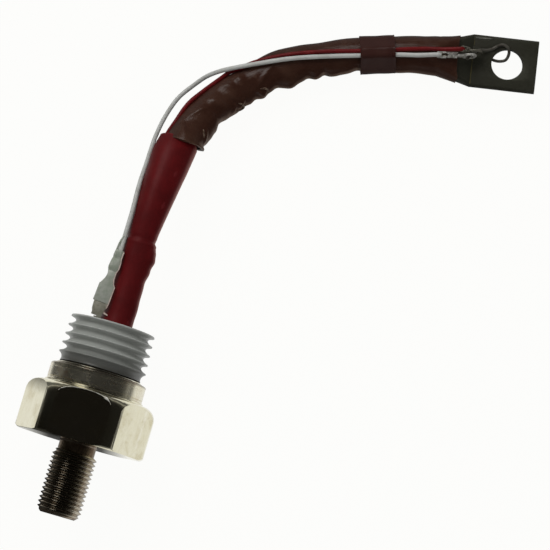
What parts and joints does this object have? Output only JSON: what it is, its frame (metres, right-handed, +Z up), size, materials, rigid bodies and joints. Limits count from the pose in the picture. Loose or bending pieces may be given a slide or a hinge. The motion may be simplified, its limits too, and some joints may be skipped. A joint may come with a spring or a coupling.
{
  "type": "stud-mounted thyristor with flexible lead",
  "caption": "Stud-mounted power thyristor with a finned ceramic insulator, a sleeved flexible cathode lead and a tinned cable lug",
  "frame": {"origin": "middle of the hexagon flat on which the base rests, on the table plane and halfway up the hexagon", "axes": "+Y runs along the stud axis from the stud to the lead, +Z is up from the table, +X is to the right seen from above with the stud at the bottom; metres"},
  "size_m": [0.1162, 0.1711, 0.034],
  "materials": {
    "nickel_plate": "dull nickel plate over copper, turned, faintly yellow",
    "braze": "dark brazing seam",
    "ceramic": "pale grey-green glazed alumina",
    "molybdenum": "lapped",
    "silicon": "polished, bevelled edge",
    "white_plastic": "fluoropolymer, waxy",
    "copper": "bare copper, slightly oxidised",
    "mica": "split mica, pearly",
    "spring_steel": "blued spring steel",
    "contact_metal": "silvered",
    "terminal_metal": "drawn tube, nickel plated",
    "tinned_brass": "tinned brass sheet, greyish green cast",
    "red_silicone": "dark red silicone, satin",
    "brown_sleeving": "dark brown shrink sleeving, soft gloss",
    "white_insulation": "off-white wire insulation",
    "red_insulation": "deep red wire insulation",
    "tinned_copper": "dull grey hot-tinned copper tube",
    "dull_wire": "tarnished binding wire"
  },
  "bodies": {
    "root": {"stud_base": "nickel_plate", "weld_ring": "nickel_plate", "lower_flange": "nickel_plate", "braze_ring": "braze", "ceramic_insulator": "ceramic", "lower_moly_disc": "molybdenum", "silicon_wafer": "silicon", "upper_moly_disc": "molybdenum", "centring_ring": "white_plastic", "cathode_contact": "copper", "mica_washer": "mica", "thrust_washer": "spring_steel", "disc_spring_lower": "spring_steel", "disc_spring_middle": "spring_steel", "disc_spring_upper": "spring_steel", "spring_retainer": "spring_steel", "gate_pin": "contact_metal", "gate_bush": "white_plastic", "gate_spring": "contact_metal", "gate_inner_lead": "white_plastic", "inner_braid": "copper", "cathode_tube": "terminal_metal", "gate_eyelet": "terminal_metal", "gate_tab": "tinned_brass", "gate_receptacle": "tinned_brass", "cathode_rope": "copper", "red_sleeve": "red_silicone", "brown_sleeve": "brown_sleeving", "tie_band": "brown_sleeving", "gate_lead": "white_insulation", "aux_lead": "red_insulation", "cable_lug": "tinned_copper", "gate_end_terminal": "tinned_brass", "aux_end_terminal": "tinned_brass", "tie_wire": "dull_wire"}
  },
  "joints": []
}
